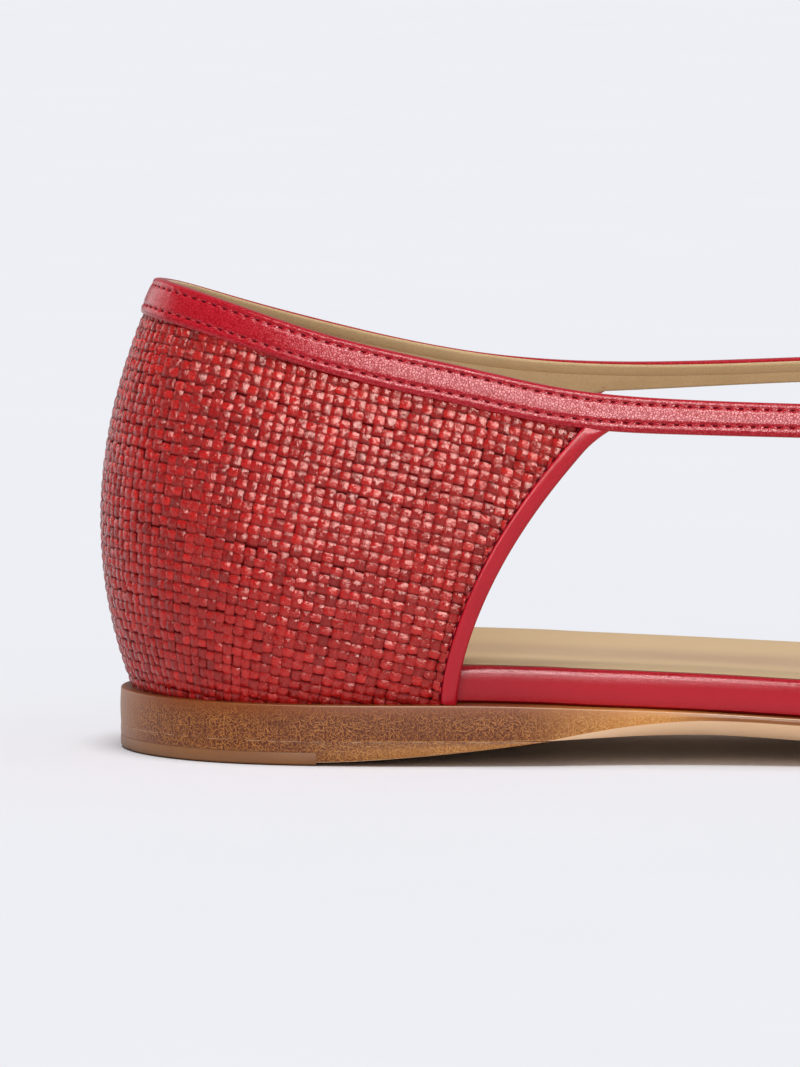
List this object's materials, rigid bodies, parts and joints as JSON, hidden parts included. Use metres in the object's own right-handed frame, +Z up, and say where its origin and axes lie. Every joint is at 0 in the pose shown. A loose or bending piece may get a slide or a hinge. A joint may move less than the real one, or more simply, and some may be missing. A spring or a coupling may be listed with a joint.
{
  "type": "ballet flat",
  "caption": "Flat slip-on shoe with a woven raffia counter and toe, open sides, a leather topline band and a low stacked-leather heel.",
  "frame": {"origin": "middle of the shoe's box, on the floor", "axes": "+X from the heel to the toe, +Y to the inner side of the foot, +Z up"},
  "size_m": [0.2472, 0.0824, 0.0653],
  "materials": {
    "sole_leather": "stained edge, satin",
    "heel_rubber": "matt brown",
    "red_leather": "fine grain, satin",
    "sock_leather": "smooth, matt tan",
    "raffia": "plain weave of flat glossy strands"
  },
  "bodies": {
    "root": {"outsole": "sole_leather", "heel_lift": "sole_leather", "heel_top_piece": "heel_rubber", "footbed": "red_leather", "sock_lining": "sock_leather", "upper": "raffia", "topline_band": "red_leather", "counter_binding_outer": "red_leather", "counter_binding_inner": "red_leather", "toe_binding_outer": "red_leather", "toe_binding_inner": "red_leather"}
  },
  "joints": []
}
